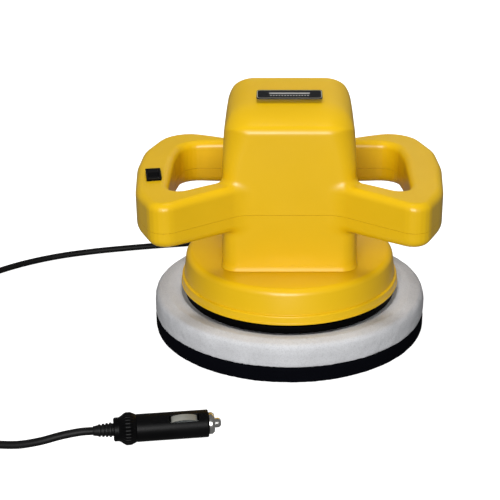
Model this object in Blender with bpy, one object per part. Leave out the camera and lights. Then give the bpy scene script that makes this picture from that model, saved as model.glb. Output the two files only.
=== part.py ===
"""Twelve-volt random-orbit car polisher: two-part housing with loop handles, round base cover,
direct-current motor, eccentric drive, two-layer foam pad, and a cord with an accessory-socket plug.

Units are metres, +Z is up, the polisher stands on its pad at z = 0 and -Y is its front.
"""
import math

import bmesh
import bpy
from mathutils import Matrix, Vector

MM = 0.001
GAP = 0.3 * MM

# ---- driving dimensions -------------------------------------------------------------------
PAD_RADIUS = 120 * MM
PAD_SPLIT_Z = 13.5 * MM
PAD_TOP_Z = 29.8 * MM
PAD_CROWN_Z = 34.4 * MM
PLATE_RADIUS = 93 * MM
PLATE_BOTTOM_Z = 31.2 * MM
PLATE_TOP_Z = 37.5 * MM
ECCENTRICITY = 3 * MM

AXIS_Y = ECCENTRICITY
COVER_RADIUS = 96 * MM
COVER_WALL_RADIUS = 94 * MM
COVER_BOTTOM_Z = 39.1 * MM
COVER_STEP_Z = 46.5 * MM
COVER_TOP_Z = 68.6 * MM
WALL = 2.8 * MM

SEAM_Z = 120 * MM
HANDLE_BOTTOM_Z = 107 * MM
HANDLE_TOP_Z = 145 * MM
HANDLE_EDGE = 6 * MM
TOWER_HALF_WIDTH = 57.5 * MM
TOWER_FRONT_Y = -50.5 * MM
TOWER_REAR_Y = 72 * MM
TOWER_EDGE = 12 * MM
FACET_START_Z = 196.2 * MM
SLOPE_START = (-38 * MM, 206 * MM)
SLOPE_END_Y = 10 * MM
TOWER_TOP_Z = 213 * MM
LABEL_SIZE = (55 * MM, 17 * MM, 0.8 * MM)
LABEL_Y = -6.5 * MM

MOTOR_RADIUS = 26 * MM
MOTOR_BOTTOM_Z = 72.2 * MM
MOTOR_TOP_Z = 148 * MM
SHAFT_RADIUS = 4 * MM
BRUSH_Z = 84 * MM
BOSS_RADIUS = 4.6 * MM
SCREW_RADIUS = 1.6 * MM
SCREW_HOLE_RADIUS = 2 * MM

SWITCH_PLACE = (-115 * MM, -21 * MM)
SWITCH_TURN = math.radians(9)
SWITCH_BEZEL = (13.4 * MM, 25 * MM)
SWITCH_BODY = (11.4 * MM, 22 * MM)
ROCKER_SIZE = (8.8 * MM, 17.6 * MM)
ROCKER_AXIS_Z = 145 * MM

CORD_RADIUS = 3 * MM
RELIEF_END_Y = 108 * MM
COIL_CENTRE = (-312 * MM, -55 * MM)
COIL_INNER = 22 * MM
COIL_OUTER = 52 * MM
COIL_BOTTOM_Z = 1.3 * MM
COIL_TOP_Z = 13.3 * MM

PLUG_RADIUS = 10.4 * MM
PLUG_REAR = (-144.5 * MM, -213.5 * MM, 12.8 * MM)
PLUG_TURN = math.radians(9)
PLUG_TILT = math.radians(1.0)
PLUG_LEAF_ANGLE = math.radians(209)

YELLOW = (0.80, 0.45, 0.012)
BLACK = (0.012, 0.012, 0.014)
STEEL = (0.55, 0.55, 0.57)


# ---- shared helpers -----------------------------------------------------------------------
def clear_scene():
    for obj in list(bpy.data.objects):
        bpy.data.objects.remove(obj, do_unlink=True)


def finish_material(name, colour, roughness, metallic=0.0):
    """A Principled material, made once for each name."""
    mat = bpy.data.materials.get(name)
    if mat:
        return mat
    mat = bpy.data.materials.new(name)
    mat.use_nodes = True
    shader = mat.node_tree.nodes["Principled BSDF"]
    shader.inputs["Base Color"].default_value = (*colour, 1.0)
    shader.inputs["Roughness"].default_value = roughness
    shader.inputs["Metallic"].default_value = metallic
    return mat


def materials():
    return {
        "shell": finish_material("shell_plastic", YELLOW, 0.32),
        "black": finish_material("black_plastic", BLACK, 0.4),
        "plate": finish_material("label_plate", (0.02, 0.02, 0.022), 0.3),
        "white_foam": finish_material("white_foam", (0.72, 0.72, 0.73), 0.95),
        "black_foam": finish_material("black_foam", (0.02, 0.02, 0.025), 0.95),
        "hook": finish_material("hook_fabric", (0.06, 0.06, 0.06), 0.9),
        "steel": finish_material("bright_steel", STEEL, 0.3, 1.0),
        "zinc": finish_material("zinc_plate", (0.6, 0.6, 0.58), 0.35, 1.0),
        "chrome": finish_material("nickel_plate", (0.75, 0.75, 0.74), 0.15, 1.0),
        "copper": finish_material("copper_wire", (0.6, 0.25, 0.1), 0.35, 1.0),
        "magnet": finish_material("ferrite", (0.05, 0.05, 0.055), 0.6),
        "carbon": finish_material("carbon", (0.03, 0.03, 0.03), 0.5),
        "alloy": finish_material("cast_alloy", (0.5, 0.5, 0.5), 0.45, 1.0),
        "rubber": finish_material("cord_rubber", (0.015, 0.015, 0.016), 0.55),
        "red": finish_material("red_wire", (0.5, 0.02, 0.02), 0.5),
        "grey": finish_material("fan_plastic", (0.2, 0.2, 0.2), 0.5),
        "glass": finish_material("fuse_glass", (0.6, 0.65, 0.65), 0.1),
    }


def add_mesh(name, bm, mat, matrix=None, cutter=False):
    """Turn a bmesh into a named object with outward faces and smooth round stretches."""
    bmesh.ops.recalc_face_normals(bm, faces=bm.faces)
    mesh = bpy.data.meshes.new(name)
    bm.to_mesh(mesh)
    bm.free()
    mesh.shade_smooth()
    mesh.set_sharp_from_angle(angle=math.radians(35))
    obj = bpy.data.objects.new(name, mesh)
    bpy.context.scene.collection.objects.link(obj)
    if matrix is not None:
        obj.matrix_world = matrix
    if cutter:
        obj.hide_render = True
        obj.display_type = "WIRE"
    else:
        mesh.materials.append(mat)
    return obj


def axis_empty(name, place):
    """A guide on a joint's axis that the moving pieces hang from."""
    guide = bpy.data.objects.new(name, None)
    guide.location = place
    bpy.context.scene.collection.objects.link(guide)
    bpy.context.view_layer.update()
    return guide


def hang(obj, guide):
    obj.parent = guide
    obj.matrix_parent_inverse = guide.matrix_world.inverted()


def cut(target, cutter, operation="DIFFERENCE"):
    step = target.modifiers.new(operation.lower() + "_" + cutter.name, "BOOLEAN")
    step.operation = operation
    step.solver = "EXACT"
    step.object = cutter


def arc_points(centre, radius, start, end, steps):
    points = []
    for i in range(steps + 1):
        angle = start + (end - start) * i / steps
        points.append((centre[0] + radius * math.cos(angle), centre[1] + radius * math.sin(angle)))
    return points


def rounded(corners, steps=3):
    """Fillet the corners (x, y, radius) of a closed outline with arcs."""
    points = []
    count = len(corners)
    for i in range(count):
        here = Vector(corners[i][:2])
        before = Vector(corners[i - 1][:2])
        after = Vector(corners[(i + 1) % count][:2])
        radius = corners[i][2]
        a = (before - here).normalized()
        b = (after - here).normalized()
        half = a.angle(b) / 2
        if radius <= 0 or half > math.radians(89.9):
            points.append((here.x, here.y))
            continue
        reach = radius / math.tan(half)
        start = here + a * reach
        end = here + b * reach
        centre = here + (a + b).normalized() * (radius / math.sin(half))
        first = math.atan2(start.y - centre.y, start.x - centre.x)
        last = math.atan2(end.y - centre.y, end.x - centre.x)
        turn = (last - first + math.pi) % (2 * math.pi) - math.pi
        points.extend(arc_points(centre, radius, first, first + turn, steps))
    return points


def offset(outline, distance):
    """Move a closed counter-clockwise outline outwards by a distance along its mitred normals."""
    moved = []
    count = len(outline)
    for i in range(count):
        here = Vector(outline[i])
        a = (here - Vector(outline[i - 1])).normalized()
        b = (Vector(outline[(i + 1) % count]) - here).normalized()
        normal_a = Vector((a.y, -a.x))
        normal_b = Vector((b.y, -b.x))
        mitre = (normal_a + normal_b).normalized()
        moved.append(tuple(here + mitre * (distance / max(mitre.dot(normal_a), 0.5))))
    return moved


def prism(outline, low, high, axis="Z"):
    """Extrude a closed outline between two levels: XY outlines along Z, YZ outlines along X."""
    bm = bmesh.new()
    verts = []
    for u, v in outline:
        verts.append(bm.verts.new((u, v, low) if axis == "Z" else (low, u, v)))
    face = bm.faces.new(verts)
    shift = (0, 0, high - low) if axis == "Z" else (high - low, 0, 0)
    moved = bmesh.ops.extrude_face_region(bm, geom=[face])["geom"]
    bmesh.ops.translate(bm, verts=[v for v in moved if isinstance(v, bmesh.types.BMVert)], vec=shift)
    bmesh.ops.recalc_face_normals(bm, faces=bm.faces)
    return bm


def soften(bm, width, test, segments=2):
    """Bevel the edges whose middle and faces pass a test."""
    edges = [edge for edge in bm.edges if test(edge)]
    bmesh.ops.bevel(bm, geom=edges, offset=width, offset_type="OFFSET", segments=segments,
                    profile=0.5, affect="EDGES", clamp_overlap=True)
    return bm


def box(size, centre=(0, 0, 0)):
    bm = bmesh.new()
    bmesh.ops.create_cube(bm, size=1.0)
    bmesh.ops.scale(bm, vec=size, verts=bm.verts)
    bmesh.ops.translate(bm, vec=centre, verts=bm.verts)
    return bm


def turned(profile, steps=32, closed=False, arc=2 * math.pi):
    """Spin a profile of (radius, height) round Z: solid on the axis, or a ring where closed."""
    bm = bmesh.new()
    verts = [bm.verts.new((r, 0, z)) for r, z in profile]
    pairs = list(zip(verts, verts[1:]))
    if closed:
        pairs.append((verts[-1], verts[0]))
    edges = [bm.edges.new(pair) for pair in pairs]
    geom = verts + edges
    whole = abs(arc - 2 * math.pi) < 1e-6
    if not whole:
        face = bm.faces.new(verts)
        geom = [face] + verts + edges
    bmesh.ops.spin(bm, geom=geom, axis=(0, 0, 1), cent=(0, 0, 0), steps=steps, angle=arc,
                   use_merge=whole, use_normal_flip=False)
    bmesh.ops.remove_doubles(bm, verts=bm.verts, dist=1e-6)
    bmesh.ops.recalc_face_normals(bm, faces=bm.faces)
    return bm


def disc(radius, low, high, steps=24, at=(0, 0)):
    bm = turned([(0, low), (radius, low), (radius, high), (0, high)], steps)
    bmesh.ops.translate(bm, vec=(at[0], at[1], 0), verts=bm.verts)
    return bm


def ring(inner, outer, low, high, steps=24, at=(0, 0)):
    bm = turned([(inner, low), (outer, low), (outer, high), (inner, high)], steps, closed=True)
    bmesh.ops.translate(bm, vec=(at[0], at[1], 0), verts=bm.verts)
    return bm


def smooth_route(points, spacing):
    """Points at about an even spacing on a centripetal curve through the route's own points."""
    knots = [Vector(p) for p in points]
    ends = [knots[0] * 2 - knots[1]] + knots + [knots[-1] * 2 - knots[-2]]
    fine = []
    for i in range(1, len(ends) - 2):
        p0, p1, p2, p3 = ends[i - 1:i + 3]
        t1 = (p1 - p0).length ** 0.5
        t2 = t1 + (p2 - p1).length ** 0.5
        t3 = t2 + (p3 - p2).length ** 0.5
        for k in range(24):
            t = t1 + (t2 - t1) * k / 24
            a1 = p0 * ((t1 - t) / t1) + p1 * (t / t1)
            a2 = p1 * ((t2 - t) / (t2 - t1)) + p2 * ((t - t1) / (t2 - t1))
            a3 = p2 * ((t3 - t) / (t3 - t2)) + p3 * ((t - t2) / (t3 - t2))
            b1 = a1 * ((t2 - t) / t2) + a2 * (t / t2)
            b2 = a2 * ((t3 - t) / (t3 - t1)) + a3 * ((t - t1) / (t3 - t1))
            fine.append(b1 * ((t2 - t) / (t2 - t1)) + b2 * ((t - t1) / (t2 - t1)))
    fine.append(knots[-1])
    lengths = [0.0]
    for a, b in zip(fine, fine[1:]):
        lengths.append(lengths[-1] + (b - a).length)
    count = max(2, round(lengths[-1] / spacing))
    route = []
    k = 0
    for i in range(count + 1):
        want = lengths[-1] * i / count
        while k < len(fine) - 2 and lengths[k + 1] < want:
            k += 1
        part = (want - lengths[k]) / max(lengths[k + 1] - lengths[k], 1e-12)
        route.append(fine[k].lerp(fine[k + 1], min(max(part, 0.0), 1.0)))
    return route


def tube(name, route, radius, mat, resolution=2):
    curve = bpy.data.curves.new(name, "CURVE")
    curve.dimensions = "3D"
    curve.bevel_depth = radius
    curve.bevel_resolution = resolution
    curve.use_fill_caps = True
    spline = curve.splines.new("POLY")
    spline.points.add(len(route) - 1)
    for point, place in zip(spline.points, route):
        point.co = (*place, 1.0)
    curve.materials.append(mat)
    obj = bpy.data.objects.new(name, curve)
    bpy.context.scene.collection.objects.link(obj)
    return obj


def helix(name, radius, wire, low, high, turns, mat, matrix):
    """A coil spring of round wire, wound about the local Z axis and placed by a matrix."""
    route = []
    count = int(turns * 8)
    for i in range(count + 1):
        angle = 2 * math.pi * turns * i / count
        local = Vector((radius * math.cos(angle), radius * math.sin(angle), low + (high - low) * i / count))
        route.append(matrix @ local)
    return tube(name, route, wire, mat, 1)


# ---- housing ------------------------------------------------------------------------------
def handle_outline():
    """Plan of the two loop handles and the tower between them, counter-clockwise."""
    right = [(40, -50.5, 10), (107, -99, 15), (127, -55, 70), (132.5, 8, 100), (131, 48, 70),
             (110, 107, 15), (40, 72, 10)]
    corners = [(x * MM, y * MM, r * MM) for x, y, r in right]
    left = [(-x, y, r) for x, y, r in reversed(corners)]
    return rounded(corners + left)


def opening_outline(side):
    """Plan of one finger opening, counter-clockwise; side is +1 on the right."""
    corners = [(57.5, -36, 4), (94, -59, 9), (101, -42, 25), (102, 30, 40), (97, 67, 18), (57.5, 65, 4)]
    outline = rounded([(side * x * MM, y * MM, r * MM) for x, y, r in corners])
    if side < 0:
        outline.reverse()
    return outline


def tower_profile():
    """Side view of the tower in Y and Z, from the front foot round the sloped top to the rear."""
    corners = [
        (TOWER_FRONT_Y, COVER_TOP_Z + GAP, 0),
        (TOWER_REAR_Y, COVER_TOP_Z + GAP, 0),
        (TOWER_REAR_Y, 152 * MM, 30 * MM),
        (50 * MM, TOWER_TOP_Z, 14 * MM),
        (SLOPE_END_Y, TOWER_TOP_Z, 14 * MM),
        (*SLOPE_START, 10 * MM),
        (TOWER_FRONT_Y, FACET_START_Z, 6 * MM),
    ]
    return rounded(corners)


def tower_solid(inset):
    profile = tower_profile()
    if inset:
        profile = offset(profile, -inset)
        low = min(v for _, v in profile)
        profile = [(u, v - 8 * MM if v < low + MM else v) for u, v in profile]
    half = TOWER_HALF_WIDTH - inset
    bm = prism(profile, -half, half, "X")

    def on_side(edge):
        a, b = edge.verts
        flat = abs(abs(a.co.x) - half) < 1e-6 and abs(a.co.x - b.co.x) < 1e-6
        floor = min(v.co.z for v in bm.verts) + 1e-5
        return flat and not (a.co.z < floor and b.co.z < floor)

    return soften(bm, TOWER_EDGE - inset, on_side, 3)


def handle_solid(inset):
    outline = handle_outline()
    if inset:
        outline = offset(outline, -inset)
    low = HANDLE_BOTTOM_Z + inset
    high = HANDLE_TOP_Z - inset
    bm = prism(outline, low, high)

    def on_rim(edge):
        a, b = edge.verts
        flat = abs(a.co.z - b.co.z) < 1e-6
        return flat

    return soften(bm, HANDLE_EDGE - inset, on_rim, 2)


def opening_solid(side, wall):
    outline = opening_outline(side)
    if wall:
        outline = offset(outline, wall)
    return prism(outline, HANDLE_BOTTOM_Z - 9 * MM, HANDLE_TOP_Z + 9 * MM)


def handle_boss_places():
    """The screws that clamp the housing halves, two in each handle."""
    return [(side * x * MM, y * MM) for side in (-1, 1) for x, y in ((104, -79), (109, 84))]


def corner_boss_places():
    """The posts in the tower's corners that take the base cover's screws."""
    return [(side * 51 * MM, y * MM) for side in (-1, 1) for y in (-41, 62)]


def housing_half(name, mats, upper, guides):
    """One hollow half of the housing, cut from the shared outer form at the seam."""
    shell = add_mesh(name, tower_solid(0), mats["shell"])
    cut(shell, guides["handles"], "UNION")
    for key in ("left_opening", "right_opening", "hollow", "relief_hole"):
        cut(shell, guides[key])
    shift = GAP / 2 if upper else -GAP / 2
    reach = 200 * MM
    level = SEAM_Z + shift
    centre_z = level - reach / 2 if upper else level + reach / 2
    half_space = add_mesh(name + "_trim", box((0.4, 0.4, reach), (0, 0, centre_z)), None, cutter=True)
    cut(shell, half_space)
    for hole in guides["screw_holes"]:
        cut(shell, hole)
    if upper:
        cut(shell, guides["switch_hole"])
    else:
        for hole in guides["cover_holes"]:
            cut(shell, hole)
    return shell


def hollow_guide():
    """The housing's inside: tower and handles inset by the wall, less walls and screw posts."""
    hollow = add_mesh("hollow_guide", tower_solid(WALL), None, cutter=True)
    handles = add_mesh("hollow_handles", handle_solid(WALL), None, cutter=True)
    cut(hollow, handles, "UNION")
    for side, key in ((-1, "left"), (1, "right")):
        wall = add_mesh("opening_wall_" + key, opening_solid(side, WALL), None, cutter=True)
        cut(hollow, wall)
    for index, place in enumerate(handle_boss_places() + corner_boss_places()):
        post = disc(BOSS_RADIUS, 60 * MM, 230 * MM, 10, place)
        cut(hollow, add_mesh("post_guide_%d" % index, post, None, cutter=True))
    return hollow


def screw_hole(name, place, low, high, head_low, head_high, head_radius):
    """A clearance hole with a counterbore for the head."""
    profile = [(0, head_low), (head_radius, head_low), (head_radius, head_high),
               (SCREW_HOLE_RADIUS, head_high), (SCREW_HOLE_RADIUS, high), (0, high)]
    if head_high <= low:
        profile = [(0, low), (SCREW_HOLE_RADIUS, low), (SCREW_HOLE_RADIUS, high), (0, high)]
    bm = turned(profile, 10)
    bmesh.ops.translate(bm, vec=(place[0], place[1], 0), verts=bm.verts)
    return add_mesh(name, bm, None, cutter=True)


def screw(name, mat, place, head_z, tip_z, head_radius=2.9 * MM, head_height=2.4 * MM):
    """A pan-head screw that points up, its head downwards."""
    shoulder = head_z + head_height
    profile = [(0, head_z), (head_radius * 0.8, head_z), (head_radius, head_z + head_height * 0.4),
               (head_radius, shoulder), (SCREW_RADIUS, shoulder), (SCREW_RADIUS, tip_z - 2 * MM),
               (0, tip_z)]
    bm = turned(profile, 12)
    bmesh.ops.translate(bm, vec=(place[0], place[1], 0), verts=bm.verts)
    return add_mesh(name, bm, mat)


def housing(mats):
    guides = {"handles": add_mesh("handle_guide", handle_solid(0), None, cutter=True)}
    guides["left_opening"] = add_mesh("left_opening_guide", opening_solid(-1, 0), None, cutter=True)
    guides["right_opening"] = add_mesh("right_opening_guide", opening_solid(1, 0), None, cutter=True)
    guides["hollow"] = hollow_guide()
    neck = disc(5.8 * MM, 60 * MM, 90 * MM, 16)
    guides["relief_hole"] = add_mesh("relief_hole_guide", neck, None, relief_matrix(), cutter=True)
    guides["screw_holes"] = []
    for index, place in enumerate(handle_boss_places()):
        hole = screw_hole("handle_hole_%d" % index, place, 100 * MM, 134 * MM, 100 * MM, 110.4 * MM, 3.3 * MM)
        guides["screw_holes"].append(hole)
        screw("handle_screw_%d" % (index + 1), mats["zinc"], place, 107.7 * MM, 132 * MM)
    guides["cover_holes"] = []
    for index, place in enumerate(corner_boss_places()):
        hole = screw_hole("cover_hole_%d" % index, place, 60 * MM, 85 * MM, 0, 0, 0)
        guides["cover_holes"].append(hole)
        screw("cover_screw_%d" % (index + 1), mats["zinc"], place, COVER_TOP_Z - WALL - 2.7 * MM, 83 * MM)
    pocket = box((SWITCH_BODY[0] + 2 * GAP, SWITCH_BODY[1] + 2 * GAP, 20 * MM), (0, 0, 145 * MM))
    guides["switch_hole"] = add_mesh("switch_hole_guide", pocket, None, switch_matrix(), cutter=True)
    housing_half("upper_housing", mats, True, guides)
    housing_half("lower_housing", mats, False, guides)
    return guides


def base_cover(mats, cover_holes):
    """Round drum under the tower: top plate, wall and a stepped flange, open below."""
    inner = COVER_WALL_RADIUS - WALL
    under = COVER_TOP_Z - WALL
    profile = [
        (20 * MM, COVER_TOP_Z), (85.6 * MM, COVER_TOP_Z), (89.6 * MM, COVER_TOP_Z - 1.6 * MM),
        (91.6 * MM, COVER_TOP_Z - 5.2 * MM), (COVER_WALL_RADIUS, COVER_STEP_Z + 0.4 * MM),
        (COVER_RADIUS, COVER_STEP_Z - 1.2 * MM), (COVER_RADIUS, COVER_BOTTOM_Z),
        (COVER_RADIUS - WALL, COVER_BOTTOM_Z), (COVER_RADIUS - WALL, COVER_STEP_Z - 3 * MM),
        (inner, COVER_STEP_Z - 1.5 * MM), (inner - 2.2 * MM, under - 3 * MM), (inner - 6 * MM, under),
        (20 * MM, under),
    ]
    bm = turned(profile, 44, closed=True)
    cover = add_mesh("base_cover", bm, mats["shell"], Matrix.Translation((0, AXIS_Y, 0)))
    for hole in cover_holes:
        cut(cover, hole)
    return cover


def name_plate(mats):
    """A plain dark plate that lies on the tower's sloped front."""
    slope = math.atan2(TOWER_TOP_Z - SLOPE_START[1], SLOPE_END_Y - SLOPE_START[0])
    level = SLOPE_START[1] + (LABEL_Y - SLOPE_START[0]) * math.tan(slope)
    bm = box(LABEL_SIZE, (0, 0, GAP + LABEL_SIZE[2] / 2))
    place = Matrix.Translation((0, LABEL_Y, level)) @ Matrix.Rotation(slope, 4, "X")
    return add_mesh("name_plate", bm, mats["plate"], place)


# ---- pad ----------------------------------------------------------------------------------
def pad_parts(mats, guide):
    """Backing plate, hook disc and the two foam layers, all about the eccentric pin's axis."""
    plate_profile = [
        (12 * MM, PLATE_BOTTOM_Z), (PLATE_RADIUS - MM, PLATE_BOTTOM_Z),
        (PLATE_RADIUS, PLATE_BOTTOM_Z + MM), (PLATE_RADIUS, PLATE_TOP_Z),
        (88 * MM, PLATE_TOP_Z), (88 * MM, 34.2 * MM), (17 * MM, 34.2 * MM), (17 * MM, 42.5 * MM),
        (13.3 * MM, 42.5 * MM), (13.3 * MM, 35.9 * MM), (12 * MM, 35.9 * MM),
    ]
    plate = add_mesh("backing_plate", turned(plate_profile, 44, closed=True), mats["black"])
    hook = add_mesh("hook_disc", disc(88 * MM, 30.1 * MM, 30.9 * MM, 36), mats["hook"])
    white_low = PAD_SPLIT_Z + GAP
    white_profile = [
        (0, white_low), (118 * MM, white_low), (PAD_RADIUS, white_low + 2 * MM), (PAD_RADIUS, 26 * MM),
        (118.6 * MM, 31 * MM), (115 * MM, 33.6 * MM), (108 * MM, PAD_CROWN_Z), (95.6 * MM, 31.6 * MM),
        (94 * MM, PAD_TOP_Z), (0, PAD_TOP_Z),
    ]
    white = add_mesh("white_foam_pad", turned(white_profile, 44), mats["white_foam"])
    black_profile = [
        (0, 0), (117 * MM, 0), (119.4 * MM, 2 * MM), (PAD_RADIUS, 7 * MM), (119.2 * MM, PAD_SPLIT_Z),
        (0, PAD_SPLIT_Z),
    ]
    black = add_mesh("black_foam_pad", turned(black_profile, 44), mats["black_foam"])
    outer = add_mesh("pad_bearing_outer", ring(10.6 * MM, 13 * MM, 36.2 * MM, 41.8 * MM, 24), mats["steel"])
    for obj in (plate, hook, white, black, outer):
        hang(obj, guide)


# ---- drive --------------------------------------------------------------------------------
def star_outline(inner, outer, teeth, tooth_share, lean=0.0):
    """Closed outline of a ring of straight-sided teeth; lean turns the tips against the roots."""
    outline = []
    for i in range(teeth):
        middle = 2 * math.pi * i / teeth
        half = math.pi / teeth * tooth_share
        for radius, angle, shift in ((inner, -half, 0), (outer, -half, lean), (outer, half, lean),
                                     (inner, half, 0)):
            angle = middle + angle * (inner / radius if tooth_share < 0.5 else 1) + shift
            outline.append((radius * math.cos(angle), radius * math.sin(angle)))
    return outline


def drive_parts(mats, guide):
    """Everything that turns with the motor shaft, down to the eccentric pin."""
    axis = Matrix.Translation((0, AXIS_Y, 0))
    bore = add_mesh("shaft_bore_guide", disc(SHAFT_RADIUS + GAP, 47.5 * MM, 170 * MM, 20), None, axis, True)
    parts = [add_mesh("motor_shaft", disc(SHAFT_RADIUS, 47.8 * MM, 149 * MM, 20), mats["steel"], axis)]
    core = add_mesh("armature_core", prism(star_outline(10 * MM, 18.6 * MM, 10, 0.7), 97.4 * MM, 133 * MM),
                    mats["steel"], axis)
    cut(core, bore)
    parts.append(core)
    for name, low, high in (("winding_lower", 90.5 * MM, 97 * MM), ("winding_upper", 133.4 * MM, 140 * MM)):
        middle = (low + high) / 2
        profile = [(5 * MM, low + MM), (9 * MM, low), (15 * MM, low), (17.4 * MM, middle), (15 * MM, high),
                   (9 * MM, high), (5 * MM, high - MM)]
        parts.append(add_mesh(name, turned(profile, 24, closed=True), mats["copper"], axis))
    parts.append(add_mesh("commutator", ring(4.3 * MM, 9.5 * MM, 79 * MM, 89.5 * MM, 24), mats["copper"], axis))
    fan = add_mesh("cooling_fan", prism(star_outline(12 * MM, 40 * MM, 9, 0.3, 0.25), 55 * MM, 60.5 * MM),
                   mats["grey"], axis)
    cut(fan, bore)
    parts.append(fan)
    hub = add_mesh("eccentric_hub", disc(13 * MM, 42.5 * MM, 54.7 * MM, 28), mats["alloy"], axis)
    pin = add_mesh("eccentric_pin_guide", disc(8 * MM, 36 * MM, 44 * MM, 28), None, None, True)
    tapped = add_mesh("tapped_hole_guide", disc(2.6 * MM, 30 * MM, 46.4 * MM, 12), None, None, True)
    grub_axis = Matrix.Translation((0, AXIS_Y, 51 * MM)) @ Matrix.Rotation(math.pi / 2, 4, "X")
    grub_hole = add_mesh("grub_hole_guide", disc(1.9 * MM, 3 * MM, 20 * MM, 10), None, grub_axis, True)
    cut(hub, pin, "UNION")
    cut(hub, bore)
    cut(hub, tapped)
    cut(hub, grub_hole)
    parts.append(hub)
    grub = disc(1.6 * MM, SHAFT_RADIUS + GAP, 12 * MM, 10)
    parts.append(add_mesh("grub_screw", grub, mats["steel"], grub_axis))
    weight_profile = [(13.4 * MM, 44 * MM), (34 * MM, 44 * MM), (34 * MM, 52.5 * MM), (13.4 * MM, 52.5 * MM)]
    weight = turned(weight_profile, 16, arc=math.radians(170))
    start = Matrix.Rotation(math.radians(5), 4, "Z")
    parts.append(add_mesh("counterweight", weight, mats["alloy"], axis @ start))
    parts.append(add_mesh("pad_bearing_inner", ring(8.3 * MM, 10.2 * MM, 36.2 * MM, 41.8 * MM, 24),
                          mats["steel"]))
    parts.append(add_mesh("retaining_washer", ring(2.6 * MM, 9.5 * MM, 34.8 * MM, 35.7 * MM, 20),
                          mats["zinc"]))
    parts.append(screw("pad_screw", mats["zinc"], (0, 0), 31.6 * MM, 46 * MM, 4.4 * MM, 2.9 * MM))
    for obj in parts:
        hang(obj, guide)


def motor_parts(mats):
    """The still parts of the motor, from the mount plate up to the can's closed end."""
    axis = Matrix.Translation((0, AXIS_Y, 0))
    low = MOTOR_BOTTOM_Z
    high = MOTOR_TOP_Z
    add_mesh("motor_mount_plate", ring(8.4 * MM, 34 * MM, COVER_TOP_Z + GAP, low - GAP, 32), mats["zinc"], axis)
    add_mesh("motor_end_cap", ring(8.3 * MM, MOTOR_RADIUS, low, low + 4 * MM, 32), mats["black"], axis)
    can_inner = MOTOR_RADIUS - 1.8 * MM
    can_profile = [(can_inner, low + 4.3 * MM), (MOTOR_RADIUS, low + 4.3 * MM), (MOTOR_RADIUS, high),
                   (8.3 * MM, high), (8.3 * MM, high - 2.5 * MM), (can_inner, high - 2.5 * MM)]
    add_mesh("motor_can", turned(can_profile, 32, closed=True), mats["zinc"], axis)
    add_mesh("motor_bearing_lower", ring(4.3 * MM, 8 * MM, low, low + 5 * MM, 20), mats["steel"], axis)
    add_mesh("motor_bearing_upper", ring(4.3 * MM, 8 * MM, high - 5 * MM, high, 20), mats["steel"], axis)
    magnet_profile = [(19.7 * MM, 94 * MM), (23.8 * MM, 94 * MM), (23.8 * MM, 136 * MM), (19.7 * MM, 136 * MM)]
    for index, start in enumerate((25, 205)):
        turn = Matrix.Rotation(math.radians(start), 4, "Z")
        magnet = turned(magnet_profile, 12, arc=math.radians(130))
        add_mesh("magnet_%d" % (index + 1), magnet, mats["magnet"], axis @ turn)
    for index, side in enumerate((-1, 1)):
        turn = Matrix.Rotation(0 if side > 0 else math.pi, 4, "Z")
        place = Matrix.Translation((0, AXIS_Y, BRUSH_Z)) @ turn
        holder = box((11.5 * MM, 8.4 * MM, 9 * MM), (17.4 * MM, 0, 0))
        channel = box((20 * MM, 6.2 * MM, 6 * MM), (17 * MM, 0, 0))
        frame = add_mesh("brush_holder_%d" % (index + 1), holder, mats["zinc"], place)
        cut(frame, add_mesh("brush_channel_%d" % (index + 1), channel, None, place, True))
        guide = axis_empty("brush_guide_%d" % (index + 1), place.translation)
        brush = box((8 * MM, 5.6 * MM, 5.4 * MM), (13.9 * MM, 0, 0))
        hang(add_mesh("carbon_brush_%d" % (index + 1), brush, mats["carbon"], place), guide)
        along = place @ Matrix.Rotation(math.pi / 2, 4, "Y")
        helix("brush_spring_%d" % (index + 1), 1.8 * MM, 0.3 * MM, 18.6 * MM, 22.6 * MM, 4, mats["steel"], along)


# ---- switch and wiring --------------------------------------------------------------------
def switch_matrix():
    place = Matrix.Translation((SWITCH_PLACE[0], SWITCH_PLACE[1], 0))
    return place @ Matrix.Rotation(SWITCH_TURN, 4, "Z")


def switch_parts(mats):
    """A rocker switch let into the left handle: body with bezel and blades, and its rocker."""
    place = switch_matrix()
    low = 125 * MM
    rim = HANDLE_TOP_Z + GAP
    body = add_mesh("switch_body", box((SWITCH_BODY[0], SWITCH_BODY[1], rim + MM - low),
                                       (0, 0, (rim + MM + low) / 2)), mats["black"], place)
    bezel = soften(box((SWITCH_BEZEL[0], SWITCH_BEZEL[1], 1.6 * MM), (0, 0, rim + 0.8 * MM)), 0.5 * MM,
                   lambda edge: min(v.co.z for v in edge.verts) > rim + MM, 1)
    cut(body, add_mesh("bezel_guide", bezel, None, place, True), "UNION")
    for y in (-5, 5):
        blade = box((0.8 * MM, 4.8 * MM, 8 * MM), (0, y * MM, low - 3 * MM))
        cut(body, add_mesh("blade_guide_%d" % y, blade, None, place, True), "UNION")
    pocket = box((ROCKER_SIZE[0] + 2 * GAP, ROCKER_SIZE[1] + 2.2 * MM, 20 * MM), (0, 0, 149 * MM))
    cut(body, add_mesh("rocker_pocket_guide", pocket, None, place, True))
    half = ROCKER_SIZE[1] / 2
    top = rim + 1.6 * MM
    profile = [(-half, ROCKER_AXIS_Z - 3.5 * MM), (half, ROCKER_AXIS_Z - 3.5 * MM), (half, top + 2.3 * MM),
               (half - 1.4 * MM, top + 2.4 * MM), (0, top + 0.4 * MM), (-half, top + 0.1 * MM)]
    bm = prism(profile, -ROCKER_SIZE[0] / 2, ROCKER_SIZE[0] / 2, "X")
    guide = axis_empty("rocker_guide", (SWITCH_PLACE[0], SWITCH_PLACE[1], ROCKER_AXIS_Z))
    hang(add_mesh("switch_rocker", bm, mats["black"], place), guide)


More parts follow.
